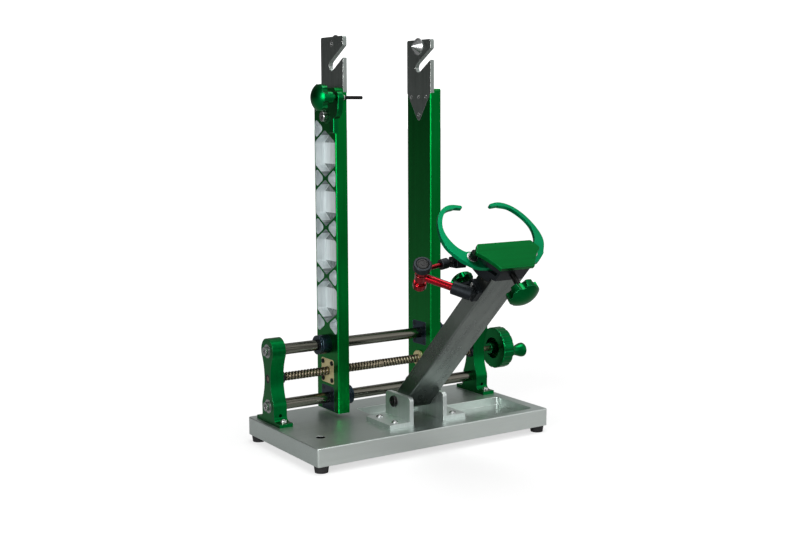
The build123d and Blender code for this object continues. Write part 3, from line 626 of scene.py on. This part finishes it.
def indicator_screws():
    """Screw of the indicator pad, and the two of the stem clamp."""
    bm = bmesh.new()
    cap_screw(bm, on_arm(-33.0, 268.0, 5.0), -X, 2.6, 1.8, 1.2)
    add_piece("indicator_base_screw", bm, "arm", stainless)

    bm = bmesh.new()
    for x in (-39.0, -32.0):
        cap_screw(bm, point(x, -204.0, 286.9), -Y, 1.7, 1.0, 0.8)
    add_piece("indicator_clamp_screws", bm, "wrist", stainless)


def elbow_knob_face():
    """Ribbed ring and raised centre in the recess of the elbow knob."""
    def ribbed(radius, turn):
        return radius + 0.18 * math.cos(36 * turn)

    floor_at = KNOB_TOP - 1.2
    bm = bmesh.new()
    turned(bm, ELBOW, ELBOW_AXIS, [
        (8.3, floor_at - 0.1), (8.3, floor_at + 0.55, ribbed), (7.4, floor_at + 0.95, ribbed),
        (6.1, floor_at + 0.95, ribbed), (5.6, floor_at + 0.5), (2.6, floor_at + 0.5),
        (2.2, floor_at + 0.8), (0.05, floor_at + 0.8)], 144)
    add_piece("elbow_knob_face", bm, "elbow_screw", black_steel, 30)


# ------------------------------------------------------------------- studio
def floor_material():
    """White sweep: bright to the camera, mid grey to the metal that reflects it."""
    near_glow = 0.655
    far_glow = 0.2
    mat = bpy.data.materials.new("pale_floor")
    mat.use_nodes = True
    g = Graph(mat.node_tree)
    g.tree.nodes.clear()
    distance = g.node("ShaderNodeVectorMath", operation="LENGTH")
    g.put(distance.inputs[0], g.node("ShaderNodeNewGeometry").outputs["Position"])
    far = g.math("MULTIPLY", g.math("SUBTRACT", distance.outputs["Value"], 0.45), 1.2, clamp=True)
    camera_ray = g.node("ShaderNodeLightPath").outputs["Is Camera Ray"]
    glow = g.node("ShaderNodeEmission")
    strength = g.math("ADD", g.math("MULTIPLY", far, far_glow), near_glow)
    g.put(glow.inputs["Strength"], g.math("MULTIPLY", camera_ray, strength))
    shade = g.node("ShaderNodeBsdfDiffuse")
    shade.inputs["Color"].default_value = (0.40, 0.40, 0.40, 1.0)
    both = g.node("ShaderNodeAddShader")
    g.put(both.inputs[0], shade.outputs[0])
    g.put(both.inputs[1], glow.outputs[0])
    g.put(g.node("ShaderNodeOutputMaterial").inputs["Surface"], both.outputs[0])
    return mat


def lay_floor():
    bm = bmesh.new()
    bmesh.ops.create_grid(bm, x_segments=2, y_segments=2, size=30)
    mesh = bpy.data.meshes.new("floor")
    bm.to_mesh(mesh)
    bm.free()
    mesh.materials.append(floor_material())
    floor = bpy.data.objects.new("floor", mesh)
    bpy.context.scene.collection.objects.link(floor)


def soft_light(name, at, look, size, power):
    """Rectangular lamp in metres and watts, turned toward a point."""
    data = bpy.data.lights.new(name, "AREA")
    data.shape = "RECTANGLE"
    data.size, data.size_y = size
    data.energy = power
    obj = bpy.data.objects.new(name, data)
    obj.location = at
    obj.rotation_euler = (Vector(look) - Vector(at)).to_track_quat("-Z", "Y").to_euler()
    bpy.context.scene.collection.objects.link(obj)


def studio_world():
    """Dim surround with broad soft lobes of light; plain white to the camera."""
    ambient = 0.05
    camera_white = 1.1
    lobes = (
        ((0.10, -0.10, 1.00), 3.0, 0.55),
        ((0.60, -0.80, 0.20), 5.0, 1.00),
        ((0.85, 0.50, 0.25), 3.0, 0.30),
        ((-0.70, -0.70, 0.40), 4.0, 0.25))
    world = bpy.data.worlds.new("studio")
    bpy.context.scene.world = world
    world.use_nodes = True
    g = Graph(world.node_tree)
    heading = g.node("ShaderNodeTexCoord").outputs["Generated"]
    light = ambient
    for toward, sharpness, amount in lobes:
        dot = g.node("ShaderNodeVectorMath", operation="DOT_PRODUCT")
        g.put(dot.inputs[0], heading)
        dot.inputs[1].default_value = Vector(toward).normalized()
        lobe = g.math("POWER", g.math("MAXIMUM", dot.outputs["Value"], 0.0), sharpness)
        light = g.math("ADD", g.math("MULTIPLY", lobe, amount), light)
    camera_ray = g.node("ShaderNodeLightPath").outputs["Is Camera Ray"]
    background = g.tree.nodes["Background"]
    background.inputs["Color"].default_value = (1.0, 1.0, 1.0, 1.0)
    g.put(background.inputs["Strength"], g.math("ADD", g.math("MULTIPLY", camera_ray, camera_white), light))


def set_camera():
    """Camera worked out from the edges of the plate and the uprights; place in metres."""
    place = point(-0.94124, -1.44361, 0.47431)
    yaw, pitch, roll = 0.57865, 0.127547, -0.0043525
    focal_px = 1192.1
    image_px = 800
    ahead = point(math.sin(yaw) * math.cos(pitch), math.cos(yaw) * math.cos(pitch), -math.sin(pitch))
    level = point(math.cos(yaw), -math.sin(yaw), 0.0)
    upright = level.cross(ahead)
    right = level * math.cos(roll) + upright * math.sin(roll)
    up = -level * math.sin(roll) + upright * math.cos(roll)
    lens = bpy.data.cameras.new("camera")
    lens.sensor_width = 36.0
    lens.lens = focal_px / image_px * lens.sensor_width
    lens.clip_end = 100.0
    obj = bpy.data.objects.new("camera", lens)
    obj.matrix_world = Matrix((
        (right.x, up.x, -ahead.x, place.x),
        (right.y, up.y, -ahead.y, place.y),
        (right.z, up.z, -ahead.z, place.z),
        (0.0, 0.0, 0.0, 1.0)))
    bpy.context.scene.collection.objects.link(obj)
    bpy.context.scene.camera = obj


paint_parts()
leadscrew()
base_screws()
for side, word in ((-1, "left"), (1, "right")):
    upright_screws(side, word)
claw_washers()
indicator_screws()
elbow_knob_face()
lay_floor()
soft_light("top_soft", (0.2, -0.1, 2.4), (0.0, 0.0, 0.2), (1.6, 1.4), 26)
soft_light("left_soft", (-2.4, -1.35, 0.95), (0.0, 0.0, 0.3), (0.8, 1.5), 44)
studio_world()
set_camera()
bpy.context.scene.view_settings.view_transform = "Standard"
bpy.context.scene.view_settings.look = "None"
